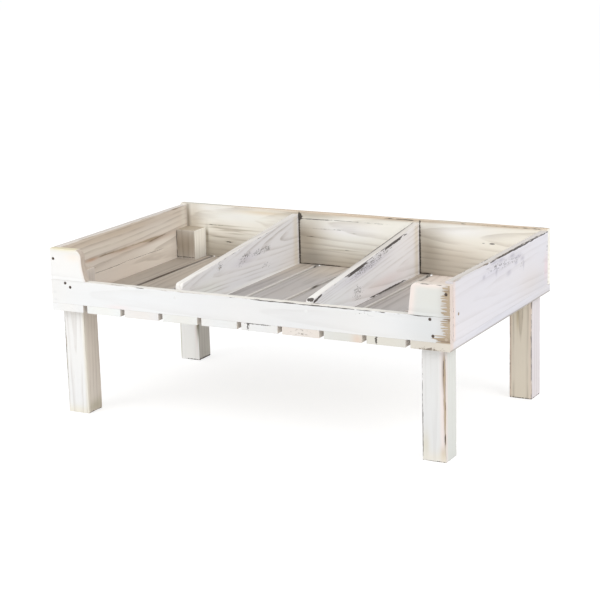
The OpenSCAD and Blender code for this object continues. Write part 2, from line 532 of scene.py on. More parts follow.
    def cut_cracks(self, flat: Array, points: Array, normal: Array, grime_and_shade: Array) -> None:
        """Moves each crack's mesh lines sideways by noise and down by its depth, and adds soiling.

        Args:
            flat: Points on the sharp block.
            points: The worn points, which move.
            normal: The outward direction at each.
            grime_and_shade: The soiling and painted shade at each, which grows.
        """
        for crack in self.cracks:
            off = np.abs(flat[:, 1] - self.place_mm(0.0, crack.across)[1])
            width = crack.width * MM
            near = 1.0 - smooth_step(off, width * 1.2, width * 2.4)
            wander = noise(flat * [1, 0, 0], self.CRACK_CELL, self.seed + 7)
            points[:, 1] += wander * crack.wander * MM * near
            fade = self.stretch(flat, (crack.start - 12, crack.start + 12),
                                (crack.end - 12, crack.end + 12))
            deep = 1.0 - smooth_step(off, 0.0, width * 0.8)
            deep = deep * fade * self.face_weight(normal, crack.face)
            points -= normal * (deep * crack.depth * MM)[:, None]
            grime_and_shade += deep

    def press_nails(self, flat: Array, points: Array, normal: Array, grime_and_shade: Array) -> None:
        """Dimples the face round each nail by e to minus the fourth power of the distance.

        Args:
            flat: Points on the sharp block.
            points: The worn points, which move.
            normal: The outward direction at each.
            grime_and_shade: The soiling and painted shade at each, which grows.
        """
        for nail in self.nails:
            away = np.hypot(*(flat[:, :2] - self.place_mm(*nail)[:2]).T)
            dimple = np.exp(-(away / self.DIMPLE_SPREAD) ** 4) * self.face_weight(normal, OVER)
            points -= normal * (dimple * self.DIMPLE_DEPTH)[:, None]
            grime_and_shade += 0.35 * dimple

    def paint(self, flat: Array, normal: Array) -> Array:
        """The wash's colour at each point: the board's, its faces' and its patches' over that, some of
        them painted shade or painted light.

        Args:
            flat: Points on the sharp block.
            normal: The outward direction at each.

        Returns:
            Rows of linear red, green and blue.
        """
        layers = [(self.face_weight(normal, face), colour) for face, colour in self.tones.items()]
        layers += [(self.mark_weight(flat, normal, tint), tint.colour) for tint in self.tints]
        tone = np.tile(linear(*self.tone), (len(flat), 1))
        for weight, colour in layers:
            weight = np.clip(weight, 0.0, 1.0)[:, None]
            tone = tone * (1.0 - weight) + linear(*colour) * weight
        tone *= 1.0 + 0.03 * noise(flat, self.TONE_CELL, self.seed + 4)[:, None]
        hue = noise(flat, self.HUE_CELL, self.seed + 6)[:, None]
        return tone * (1.0 + hue * np.array([0.012, 0.0, -0.018]))

    def wear_and_figure(self, flat: Array, normal: Array) -> tuple[Array, Array]:
        """How worn each point is and how much its grain shows.

        Args:
            flat: Points on the sharp block.
            normal: The outward direction at each.

        Returns:
            Rows of four kinds of wear, and the strength of the grain, which is 1 where no face
            and no mark changes it.
        """
        # On a face the least gap is 0 and the next one leads to an arris. In an opening the
        # least one does.
        gaps = np.sort(self.half - np.abs(flat), axis=1)
        to_arris = np.where(gaps[:, 0] < 1e-6, gaps[:, 1], gaps[:, 0])
        rough = noise(flat, self.RUB_CELL, self.seed + 3)
        rubbed = self.arris_rub * np.exp(-to_arris / self.RUB_REACH) * (1.0 + 0.8 * rough)
        for face, amount in self.edges.items():
            rubbed *= 1.0 + (amount - 1.0) * np.exp(-self.below(flat, face) / self.EDGE_REACH)
        rubbed = rubbed * (1.0 - self.joint_weight(flat)) + self.bare_all
        for face, amount in self.bare.items():
            rubbed += amount * self.face_weight(normal, face)
        figure = np.ones(len(flat))
        for face, amount in self.grain.items():
            figure += (amount - 1.0) * self.face_weight(normal, face)
        wear = np.zeros((len(flat), 4))
        wear[:, RUBBED.value] = rubbed
        for mark in self.marks:
            target = figure if mark.kind is FIGURED else wear[:, mark.kind.value]
            target += self.mark_weight(flat, normal, mark)
        return wear, figure

    def build(self, finish: bpy.types.Material) -> bpy.types.Object:
        """Makes the board's mesh and the attributes that its finish reads.

        Args:
            finish: The material.

        Returns:
            The object, which rides on the crate and replaces its node.
        """
        flat, quads = self.lattice()
        points, normal = self.worn(flat)
        wear, figure = self.wear_and_figure(flat, normal)
        self.cut_cracks(flat, points, normal, wear[:, GRIMY.value])
        self.press_nails(flat, points, normal, wear[:, GRIMY.value])
        tone = np.c_[np.clip(self.paint(flat, normal), 0, 1), np.ones(len(flat))]
        if self.warp:
            points = self.warp(points)
        mesh = bpy.data.meshes.new(self.node + "_worn")
        mesh.from_pydata((points @ self.rows + self.centre).tolist(), [], quads.tolist())
        self.write(mesh, "log", "FLOAT_VECTOR", "vector", self.sawing.places(flat, self.seed))
        self.write(mesh, "tone", "FLOAT_COLOR", "color", tone)
        self.write(mesh, "wear", "FLOAT_COLOR", "color", np.clip(wear, 0, 2))
        self.write(mesh, "figure", "FLOAT", "value", figure)
        mesh.materials.append(finish)
        mesh.polygons.foreach_set("use_smooth", np.ones(len(quads), dtype=bool))
        mesh.set_sharp_from_angle(angle=self.SMOOTH_BELOW)
        mesh.update()
        piece = shown(self.node + "_worn", mesh)
        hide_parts(self.node)
        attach(piece, "root")
        LOG.info("%s: %d faces", piece.name, len(quads))
        return piece

    @staticmethod
    def write(mesh: bpy.types.Mesh, name: str, kind: str, slot: str, values: Array) -> None:
        """Writes one value for each point of the mesh into a new attribute."""
        data = mesh.attributes.new(name, kind, "POINT").data
        data.foreach_set(slot, np.ascontiguousarray(values, dtype=np.float32).ravel())


class Graph:
    """Places and joins the nodes of one shader tree."""

    def __init__(self, tree: bpy.types.NodeTree) -> None:
        """Keeps the tree that the nodes go into."""
        self.tree = tree

    def feed(self, target: Socket, source: Feed) -> None:
        """Joins a socket to another, or writes a plain value into it.

        Args:
            target: The socket that is fed.
            source: A socket or a value.
        """
        if isinstance(source, bpy.types.NodeSocket):
            self.tree.links.new(source, target)
        else:
            target.default_value = source

    def node(self, kind: str, feeds: Mapping[int | str, Feed], **settings: object) -> Sockets:
        """Adds a node.

        Args:
            kind: The node's type after ShaderNode.
            feeds: What goes into its inputs, by number or name.
            settings: Its settings.

        Returns:
            Its outputs.
        """
        made = self.tree.nodes.new("ShaderNode" + kind)
        for name, value in settings.items():
            setattr(made, name, value)
        for key, source in feeds.items():
            self.feed(made.inputs[key], source)
        return made.outputs

    def math(self, operation: str, first: Feed, second: Feed = 0.0, clamp: bool = False) -> Socket:
        """One step of arithmetic on two numbers."""
        return self.node("Math", {0: first, 1: second}, operation=operation, use_clamp=clamp)[0]

    def add(self, *terms: Feed) -> Socket:
        """The sum of two or more numbers."""
        return functools.reduce(functools.partial(self.math, "ADD"), terms)

    def times(self, first: Feed, second: Feed) -> Socket:
        """The product of two numbers."""
        return self.math("MULTIPLY", first, second)

    def one_less(self, value: Feed) -> Socket:
        """What is left of 1 when a number is taken off."""
        return self.math("SUBTRACT", 1.0, value)

    def noise(self, vector: Feed, by: Sequence[float], detail: float = 2.0,
              roughness: float = 0.55) -> Socket:
        """Noise of 0 to 1.

        Args:
            vector: The place.
            by: Cells in a metre along each axis.
            detail: Number of finer layers.
            roughness: Strength of each finer layer.

        Returns:
            The noise.
        """
        scaled = self.node("VectorMath", {0: vector, 1: tuple(by)}, operation="MULTIPLY")[0]
        feeds = {"Vector": scaled, "Scale": 1.0, "Detail": detail, "Roughness": roughness}
        return self.node("TexNoise", feeds, noise_dimensions="3D")["Fac"]

    def rise(self, value: Feed, low: float, high: float) -> Socket:
        """0 below low, 1 above high and a smooth step between."""
        feeds = {"Value": value, "From Min": low, "From Max": high}
        return self.node("MapRange", feeds, interpolation_type="SMOOTHSTEP")["Result"]

    def mix(self, factor: Feed, first: Feed, second: Feed, blend: str = "MIX") -> Socket:
        """A blend of two colours."""
        feeds = {0: factor, 6: first, 7: second}
        return self.node("Mix", feeds, data_type="RGBA", blend_type=blend)[2]

    def bump(self, height: Feed, distance: float, strength: float = 1.0) -> Socket:
        """The surface's direction, tilted by a height of 0 to 1 that stands for the distance."""
        feeds = {"Strength": strength, "Distance": distance, "Height": height}
        return self.node("Bump", feeds)["Normal"]

    def attribute(self, name: str) -> Sockets:
        """The outputs of an attribute that a board's mesh carries."""
        return self.node("Attribute", {}, attribute_name=name)

    def seen(self) -> Socket:
        """1 for the rays that the camera sees, straight, in a mirror or through glass.

        Returns:
            The greatest of the three kinds.
        """
        path = self.node("LightPath", {})
        straight = self.math("MAXIMUM", path["Is Camera Ray"], path["Is Glossy Ray"])
        return self.math("MAXIMUM", straight, path["Is Transmission Ray"])

    def group(self, tree: bpy.types.NodeTree, **inputs: Feed) -> Sockets:
        """Places a shader group and feeds its inputs."""
        return self.node("Group", inputs, node_tree=tree)


def new_material(name: str) -> tuple[bpy.types.Material, Graph, Sockets]:
    """Starts a material.

    Args:
        name: The material's name.

    Returns:
        The material, its graph and the inputs of its shader.
    """
    made = bpy.data.materials.new(name)
    made.use_nodes = True
    return made, Graph(made.node_tree), made.node_tree.nodes["Principled BSDF"].inputs


def new_group(name: str, inputs: Mapping[str, str], outputs: Mapping[str, str]
              ) -> tuple[Graph, Sockets, Sockets]:
    """Starts a shader group with named inputs and outputs.

    Args:
        name: The group's name.
        inputs: Kind of socket for each input's name: Float, Vector or Color.
        outputs: The same for the outputs.

    Returns:
        The graph, the sockets to read and the sockets to feed.
    """
    tree = bpy.data.node_groups.new(name, "ShaderNodeTree")
    for side, sockets in (("INPUT", inputs), ("OUTPUT", outputs)):
        for socket, kind in sockets.items():
            tree.interface.new_socket(socket, in_out=side, socket_type="NodeSocket" + kind)
    start = tree.nodes.new("NodeGroupInput")
    end = tree.nodes.new("NodeGroupOutput")
    return Graph(tree), start.outputs, end.inputs


class WoodGroups:
    """The shader groups that every wooden finish shares."""

    def __init__(self) -> None:
        """Builds the groups once."""
        self.grain = self.build_grain()
        self.cover = self.build_cover()
        self.scratches = self.build_scratches()
        self.grime_and_shade = self.build_grime_and_shade()
        self.comb = self.build_comb()

    @staticmethod
    def build_grain() -> bpy.types.NodeTree:
        """Growth rings round the pith and fine fibres along the grain.

        A point's distance to the pith, made to wander by noise, is cut into rings. Each ring
        darkens slowly and ends at once, as late wood does.

        Returns:
            The group.
        """
        g, start, end = new_group("log_grain", {"Log": "Vector", "Ring": "Float"},
                                  {"Rings": "Float", "Fibre": "Float"})
        across, through = g.node("SeparateXYZ", {0: start["Log"]})[1:]
        radius = g.math("SQRT", g.add(g.times(across, across), g.times(through, through)))
        wander = g.noise(start["Log"], (4.0, 22.0, 22.0), 3.0)
        drift = g.noise(start["Log"], (1.3, 5.0, 5.0), 1.0)
        radius = g.add(radius, g.times(wander, 0.007), g.times(drift, 0.02))
        turns = g.math("DIVIDE", radius, start["Ring"])
        phase = g.math("FRACT", turns)
        late = g.times(g.rise(phase, 0.35, 0.93), g.one_less(g.rise(phase, 0.93, 1.0)))
        uneven = g.noise(start["Log"], (9.0, 60.0, 60.0), 2.0)
        g.feed(end["Rings"], g.times(late, g.rise(uneven, 0.25, 0.62)))
        g.feed(end["Fibre"], g.noise(start["Log"], (28.0, 900.0, 900.0), 3.0, 0.6))
        return g.tree

    @staticmethod
    def build_cover() -> bpy.types.NodeTree:
        """How much of the wash is left, from 0 to 1.

        Noise in long streaks, patches and fine fibres is added to how far the place is rubbed,
        and a steep step cuts the sum, so that rubbed places break up along the grain.

        Returns:
            The group.
        """
        g, start, end = new_group(
            "wash_cover", {"Log": "Vector", "Rubbed": "Float", "Fibre": "Float", "Rings": "Float"},
            {"Cover": "Float", "Streaks": "Float"})
        streak = g.noise(start["Log"], (7.0, 230.0, 230.0), 3.0, 0.6)
        patch = g.noise(start["Log"], (26.0, 60.0, 60.0), 3.0, 0.6)
        field_sum = g.add(g.times(streak, 0.5), g.times(patch, 0.35), g.times(start["Fibre"], 0.25),
                          g.times(start["Rings"], 0.10))
        worn = g.add(start["Rubbed"], g.times(field_sum, 1.5), -0.825)
        g.feed(end["Cover"], g.one_less(g.rise(worn, 0.40, 0.62)))
        g.feed(end["Streaks"], streak)
        return g.tree

    @staticmethod
    def build_scratches() -> bpy.types.NodeTree:
        """Short dark strokes, mostly along the grain, as dense as the input says.

        Returns:
            The group.
        """
        g, start, end = new_group("scratches", {"Log": "Vector", "Density": "Float"},
                                  {"Scratches": "Float"})
        long_lines = g.noise(start["Log"], (26.0, 520.0, 520.0), 2.0, 0.7)
        short_lines = g.noise(start["Log"], (210.0, 260.0, 260.0), 1.0, 0.6)
        level = g.one_less(g.math("MINIMUM", start["Density"], 0.72))
        level = g.add(g.times(level, 0.32), 0.46)
        first = g.math("SUBTRACT", long_lines, level)
        second = g.math("SUBTRACT", short_lines, level)
        both = g.math("MAXIMUM", g.rise(first, 0.0, 0.05), g.rise(second, 0.01, 0.06))
        g.feed(end["Scratches"], g.times(both, g.rise(start["Density"], 0.02, 0.15)))
        return g.tree

    @staticmethod
    def build_grime_and_shade() -> bpy.types.NodeTree:
        """Soiling and painted shade that break up into dashes along the grain where there is only a
        little.

        Returns:
            The group.
        """
        g, start, end = new_group("grime_and_shade", {"Log": "Vector", "Amount": "Float"}, {"Grime_and_shade": "Float"})
        dashes = g.noise(start["Log"], (55.0, 300.0, 300.0), 2.0, 0.6)
        level = g.add(start["Amount"], g.times(g.math("SUBTRACT", dashes, 0.5), 1.6))
        g.feed(end["Grime_and_shade"], g.times(g.rise(level, 0.35, 0.6), g.rise(start["Amount"], 0.03, 0.15)))
        return g.tree

    @staticmethod
    def build_comb() -> bpy.types.NodeTree:
        """Close stripes along the grain where a tool or a strap has combed the wash off.

        Returns:
            The group.
        """
        g, start, end = new_group("comb", {"Log": "Vector", "Amount": "Float"}, {"Comb": "Float"})
        stripes = g.noise(start["Log"], (24.0, 360.0, 360.0), 1.0, 0.5)
        level = g.add(stripes, g.times(start["Amount"], 0.5))
        g.feed(end["Comb"], g.times(g.rise(level, 0.62, 0.74), g.rise(start["Amount"], 0.02, 0.2)))
        return g.tree


@dataclass(frozen=True)
class WashFinish:
    """A brushed wash over sawn wood. Colours are as seen on a screen, 0 to 255."""

    slot: str
    wood_light: Colour = (196, 178, 154)
    wood_dark: Colour = (128, 110, 92)
    # Colour of scratches, of soiling and of painted shade lines in seams and gaps
    dirt_and_shade_colour: Colour = (62, 55, 50)
    ring: float = 9.0 * MM
    show_rings: float = 0.25
    streaks: float = 0.07
    rough: float = 0.72
    bump: float = 0.45 * MM

    def build(self, groups: WoodGroups) -> bpy.types.Material:
        """Makes the material.

        Args:
            groups: The shared shader groups.

        Returns:
            The material, named after its slot.
        """
        made, g, shader = new_material(self.slot)
        shader["Specular IOR Level"].default_value = 0.3
        log = g.attribute("log")["Vector"]
        tone = g.attribute("tone")["Color"]
        figure = g.attribute("figure")["Fac"]
        worn = g.attribute("wear")
        rubbed, scratched, grime_shade = g.node("SeparateColor", {0: worn["Color"]})
        combed = g.group(groups.comb, Log=log, Amount=worn["Alpha"])["Comb"]
        grain = g.group(groups.grain, Log=log, Ring=self.ring)
        cover = g.group(groups.cover, Log=log, Rubbed=g.add(rubbed, g.times(combed, 0.8)),
                        Fibre=grain["Fibre"], Rings=grain["Rings"])
        lines = g.group(groups.scratches, Log=log, Density=scratched)["Scratches"]
        light, dark, dirt_and_shade_colour = ((*linear(*c), 1.0) for c in (self.wood_light, self.wood_dark, self.dirt_and_shade_colour))
        shade = g.add(g.times(grain["Rings"], 0.6), g.times(grain["Fibre"], 0.5))
        wood = g.mix(shade, light, dark)
        streak = g.times(g.math("SUBTRACT", cover["Streaks"], 0.5), 2.0 * self.streaks)
        thin = g.add(g.times(grain["Rings"], self.show_rings), streak)
        thin = g.math("MULTIPLY", thin, figure, clamp=True)
        wash = g.mix(thin, tone, g.mix(0.7, tone, wood, "MULTIPLY"))
        colour = g.mix(cover["Cover"], wood, wash)
        # Scratches, soiling and painted shade lines all darken the colour towards one dark colour
        grime_shade_mask = g.group(groups.grime_and_shade, Log=log, Amount=grime_shade)["Grime_and_shade"]
        ink = g.add(0.25, g.times(scratched, 0.5))
        marks_and_shade = g.math("MAXIMUM", g.math("MULTIPLY", lines, ink, clamp=True), g.times(grime_shade_mask, 0.93))
        g.feed(shader["Base Color"], g.mix(marks_and_shade, colour, dirt_and_shade_colour))
        rough = g.add(self.rough, g.times(grain["Fibre"], 0.12), g.times(cover["Cover"], -0.08))
        g.feed(shader["Roughness"], rough)
        height = g.add(g.times(grain["Fibre"], 0.30), g.times(cover["Cover"], 0.25),
                       g.times(cover["Streaks"], 0.25), g.times(lines, -0.6))
        g.feed(shader["Normal"], g.bump(height, self.bump, 0.6))
        return made


@dataclass(frozen=True)
class NailFinish:
    """Dull dark steel. The wash that ran over the heads still covers all but the bare ones."""

    name: str
    bare: Sequence[tuple[float, float, float]] = ()
    rubbed: Sequence[tuple[float, float, float]] = ()
    steel: Colour = (70, 64, 60)
    rust: Colour = (92, 70, 54)
    wash: Colour = (240, 238, 233)
    wood: Colour = (190, 174, 154)

    @staticmethod
    def near(g: Graph, place: Socket, spots: Sequence[Sequence[float]]) -> Feed:
        """1 within 5 mm of any of the spots and 0 beyond 7 mm.

        Args:
            g: The finish's graph.
            place: The place on the nails.
            spots: The spots.

        Returns:
            The greatest nearness to a spot.
        """
        found: Feed = 0.0
        for spot in spots:
            gap = g.node("VectorMath", {0: place, 1: tuple(spot)}, operation="DISTANCE")["Value"]
            found = g.math("MAXIMUM", found, g.one_less(g.rise(gap, 0.005, 0.007)))
        return found

    def build(self) -> bpy.types.Material:
        """Makes the material from the nails' Object coordinates.

        Returns:
            The material, named as the finish is.
        """
        made, g, shader = new_material(self.name)
        shader["Metallic"].default_value = 0.3
        place = g.node("TexCoord", {})["Object"]
        spots = g.noise(place, (700.0, 700.0, 700.0), 3.0)
        steel, rust, wash, wood = ((*linear(*c), 1.0)
                                   for c in (self.steel, self.rust, self.wash, self.wood))
        metal = g.mix(g.rise(spots, 0.42, 0.62), steel, rust)
        paint = g.mix(self.near(g, place, self.rubbed), wash, wood)
        rusted = g.one_less(g.rise(spots, 0.26, 0.34))
        bare = g.math("MAXIMUM", self.near(g, place, self.bare), rusted)
        g.feed(shader["Base Color"], g.mix(bare, paint, metal))
        g.feed(shader["Roughness"], g.add(0.5, g.times(spots, 0.3)))
        g.feed(shader["Normal"], g.bump(spots, 0.2 * MM))
        return made


# A board's own axes as rows, given as its directions in X, Y and Z
ALONG_FRONT = ((1, 0, 0), (0, 0, 1), (0, -1, 0))
ALONG_SIDE = ((0, 1, 0), (0, 0, 1), (1, 0, 0))
FLAT_SLAT = ((0, 1, 0), (-1, 0, 0), (0, 0, 1))
UPRIGHT = ((0, 0, 1), (1, 0, 0), (0, 1, 0))
# A joint that runs over the whole of any board, in mm
WHOLE = ((-9, 909),)


@dataclass
class FrontBoards:
    """The rail along the front and the two ears on it."""

    white: Colour = (240, 240, 239)
    left_foot: float = 86 * MM
    left_head: float = 77 * MM
    left_flare: float = 50 * MM
    left_height: float = 66 * MM
    left_radius: float = 16 * MM
    right_foot: float = 86 * MM
    right_head: float = 79 * MM
    right_height: float = 62 * MM
    right_radius: float = 11 * MM

    def left_width(self, height: Array) -> Array:
        """Width of the left ear: an arc flares out to the foot, and a corner is round.

        The arc touches the upright edge at the flare's height, so its radius is
        (out squared + height squared) / (2 out).

        Args:
            height: Heights above the rail.

        Returns:
            The width at each.
        """
        out = self.left_foot - self.left_head
        radius = (out ** 2 + self.left_flare ** 2) / (2 * out)
        down = np.clip(self.left_flare - height, 0.0, self.left_flare)
        width = self.left_head + radius - np.sqrt(radius ** 2 - down ** 2)
        return width - corner_loss(self.left_height - height, self.left_radius)

    def right_width(self, height: Array) -> Array:
        """Width of the right ear: a straight edge that leans out, less a round corner."""
        width = self.right_foot + (self.right_head - self.right_foot) * height / self.right_height
        return width - corner_loss(self.right_height - height, self.right_radius)

    def ear_warp(self, width: Callable[[Array], Array], side: int, half: Array) -> Warp:
        """Moves an ear's inner end to its outline and keeps its outer end where it is.

        Args:
            width: The ear's width at a height above the rail.
            side: -1 for the left ear and 1 for the right one.
            half: Half sizes of the ear's box.

        Returns:
            The function that moves the points.
        """
        def warp(points: Array) -> Array:
            """Moves each point out by what its height loses, more so towards the inner end.

            Args:
                points: The worn points.

            Returns:
                The moved points.
            """
            inner = -side * points[:, 0]
            weight = np.clip((inner + half[0]) / (2 * half[0] - 6 * MM), 0.0, 1.0)
            loss = 2 * half[0] - width(np.clip(points[:, 1] + half[1], 0.0, 2 * half[1]))
            moved = points.copy()
            moved[:, 0] += side * loss * weight
            return moved
        return warp

    def boards(self) -> list[Board]:
        """The rail and the ears, with the marks that each shows.

        Returns:
            The rail, the left ear and the right ear.
        """
        rail = Board(
            "front_rail", "whitewashed_board", ALONG_FRONT, self.white,
            tones={UNDER: (214, 208, 198), HIGH: (236, 233, 226), END: (226, 212, 204)},
            edges={LOW: 0.1, HIGH: 0.55, END: 0.3}, grain={OVER: 0.35},
            tight={HIGH: [(-9, 84), (816, 909)], LOW: WHOLE}, arris=1.0 * MM,
            bare={HIGH: 0.05}, seed=3,
            nails=[(8, 8), (8, 23), (892, 8), (892, 23), (35, 44), (47, 36), (859, 44), (865, 12),
                   (302, 36), (598, 36)],
            marks=wear_on(
                COMBED, OVER, (903, 24, 17, 60, 0.75), (878, 6, 16, 8, 0.5),
                RUBBED, OVER, (902, 24, 6, 60, 0.75),
                HIGH, (150, 6, 40, 6, 0.3), (300, 9, 40, 5, 0.3), (690, 9, 110, 6, 0.22),
                GRIMY, OVER, (650, 48.8, 130, 1.3, 0.9), (500, 48.8, 80, 1.1, 0.5),
                (842, 49.3, 36, 0.9, 0.8), (380, 3, 40, 1.0, 0.35), (205, 49, 50, 1.0, 0.5),
                HIGH, (611, 1.5, 13, 2.6, 1.2), (170, 13, 60, 1.4, 0.6), (560, 14.5, 150, 1.4, 0.5),
                SCRATCHED, OVER, (720, 42, 34, 5, 0.5)),
            tints=paint_on(
                OVER, (860, 20, 70, 60, (219, 220, 219), 0.95), (390, 25, 90, 60, (233, 233, 233), 0.7),
                (893, 24, 13, 60, (198, 191, 185), 0.8), (560, 25, 230, 60, (228, 228, 228), 0.9),
                (165, 3, 26, 5, (242, 232, 230), 0.8)))
        left = Board(
            "front_ear_left", "whitewashed_board", ALONG_FRONT, self.white,
            tones={UNDER: (210, 202, 188), HIGH: (222, 214, 186),
                   END: (196, 183, 171)}, tight={LOW: WHOLE},
            edges={LOW: 0.1, END: 0.3, HIGH: 0.5}, grain={OVER: 0.3},
            step=3.5 * MM, arris=1.4 * MM, bare={HIGH: 0.10}, seed=5, nails=[(8, 44)],
            marks=wear_on(RUBBED, OVER, (66, 66, 16, 2.0, 0.4)),
            tints=paint_on(
                OVER, (40, 67.5, 60, 5, (232, 224, 186), 1.0), (70, 50, 26, 10, (244, 236, 226), 0.7),
                (85, 20, 4, 40, (236, 228, 222), 0.8)))
        right = Board(
            "front_ear_right", "whitewashed_board", ALONG_FRONT, (223, 224, 220),
            tones={UNDER: (210, 202, 188), HIGH: (222, 212, 202), END: (226, 212, 204)},
            edges={LOW: 0.3, START: 0.3, HIGH: 0.6, END: 0.3},
            grain={OVER: 0.5}, tight={LOW: WHOLE},
            step=3.5 * MM, bare={HIGH: 0.16}, seed=8, nails=[(78, 44)],
            marks=wear_on(
                COMBED, OVER, (89, 30, 17, 60, 0.75),
                RUBBED, OVER, (89, 30, 6, 60, 0.75),
                GRIMY, OVER, (24, 61.3, 16, 1.0, 0.85), (62, 61.3, 14, 1.0, 0.85),
                HIGH, (30, 13, 26, 2.5, 0.6)),
            tints=paint_on(
                OVER, (4, 30, 8, 80, (240, 229, 223), 1.0), (40, 60, 60, 6, (240, 229, 222), 1.0),
                (79, 30, 13, 60, (197, 191, 187), 0.85)))
        left.warp = self.ear_warp(self.left_width, -1, left.half)
        right.warp = self.ear_warp(self.right_width, 1, right.half)
        return [rail, left, right]


def corner_loss(below_top: Array, radius: float) -> Array:
    """How much a round corner takes off a width, at a distance below the top."""
    up = np.clip(1.0 - below_top / radius, 0.0, 1.0)
    return radius * (1.0 - np.sqrt(1.0 - up * up))


@dataclass
class SideBoards:
    """The boards at both ends of the crate."""

    outer: Colour = (225, 223, 228)
    inner: Colour = (222, 211, 199)
    edge: Colour = (220, 213, 206)

    def boards(self) -> list[Board]:
        """The left and the right side board.

        Returns:
            The left and the right one.
        """
        left = Board(
            "side_board_left", "whitewashed_board", ALONG_SIDE, self.outer,
            tones={OVER: self.inner, HIGH: self.edge},
            grain={OVER: 1.7}, bare={HIGH: 0.1, OVER: 0.08}, seed=13,
            sawing=Sawing(-0.03, -0.05, 0.03), tight={LOW: WHOLE, END: WHOLE},
            marks=wear_on(
                RUBBED, OVER, (240, 66, 170, 4, 0.4), (352, 64, 34, 4, 0.5), (120, 45, 90, 6, 0.2)),
            cracks=[Crack(OVER, 34, 120, 400, 0.7, 1.0)],
            tints=paint_on(
                HIGH, (250, 0.5, 400, 1.8, (156, 144, 130), 0.85),
                OVER, (400, 40, 100, 44, (248, 240, 229), 0.85), (200, 106, 260, 8, (208, 192, 172), 0.8),
                (200, 84, 260, 7, (232, 223, 209), 0.7), (330, 62, 170, 7, (210, 190, 172), 0.8),
                (356, 64, 26, 3.4, (150, 128, 108), 0.9), (230, 64, 34, 2.6, (182, 152, 128), 0.8),
                (112, 66, 24, 3.6, (200, 160, 130), 0.8), (140, 10, 190, 12, (226, 215, 204), 0.7),
                (490, 60, 9, 90, (236, 230, 218), 0.8)))
        right = Board(
            "side_board_right", "whitewashed_board", ALONG_SIDE, self.outer,
            tones={UNDER: self.inner, HIGH: (214, 209, 204)},
            grain={OVER: 0.6}, edges={UNDER: 0.5, LOW: 0.1},
            tight={LOW: WHOLE, START: WHOLE, END: WHOLE},
            bare={HIGH: 0.1, UNDER: 0.08}, seed=17, nails=[(25, 31), (25, 49)],
            marks=wear_on(
                GRIMY, OVER, (330, 114.6, 190, 1.8, 0.95), (0.4, 50, 0.8, 90, 0.5), (500, 75, 2, 40, 0.45),
                HIGH, (330, 14.5, 190, 2.6, 0.7), (160, 1.5, 90, 1.4, 0.6),
                SCRATCHED, OVER, (200, 100, 60, 10, 0.6), (305, 96, 80, 12, 0.6), (356, 76, 26, 12, 0.5)),
            tints=paint_on(
                OVER, (3, 50, 7, 90, (236, 218, 210), 1.0), (420, 30, 80, 26, (222, 216, 215), 0.7),
                (210, 92, 90, 14, (214, 212, 222), 0.6),
                *dabs((186, 183, 194), 0.75, (215, 90, 4, 8), (151, 92, 7, 4), (206, 110, 20, 3),
                      (240, 108, 16, 4), (300, 105, 12, 5), (332, 97, 16, 4), (356, 88, 10, 4),
                      (363, 74, 3.5, 8), (282, 74, 12, 5), (322, 86, 8, 4)),
                (495, 40, 12, 26, (236, 214, 218), 0.7)))
        return [left, right]


